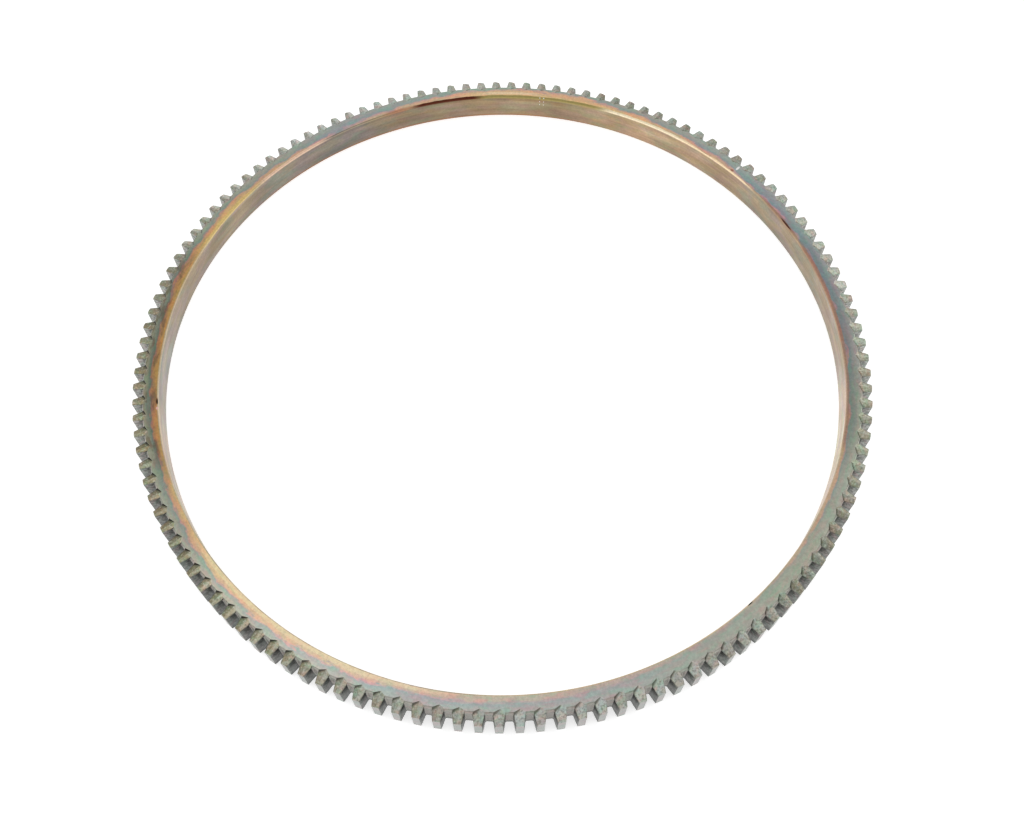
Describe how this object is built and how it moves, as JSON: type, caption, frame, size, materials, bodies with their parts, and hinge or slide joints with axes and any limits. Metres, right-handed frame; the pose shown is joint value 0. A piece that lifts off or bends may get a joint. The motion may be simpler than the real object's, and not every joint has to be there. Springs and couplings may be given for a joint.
{
  "type": "flywheel ring gear",
  "caption": "Steel ring gear that shrinks onto a flywheel so that a starter pinion can turn the engine, with teeth pointed on the side the pinion enters.",
  "frame": {"origin": "centre of the lower face, on the ring's axis", "axes": "+Z along the ring's axis, from the plain lower face to the face with the pointed teeth; +X through the middle of one tooth"},
  "size_m": [0.3918, 0.3918, 0.016],
  "materials": {
    "ring_gear": "machined steel with a thin oxide film and heat-tint bands in straw, copper, violet and blue-green"
  },
  "bodies": {
    "root": {"ring_gear": "ring_gear"}
  },
  "joints": []
}
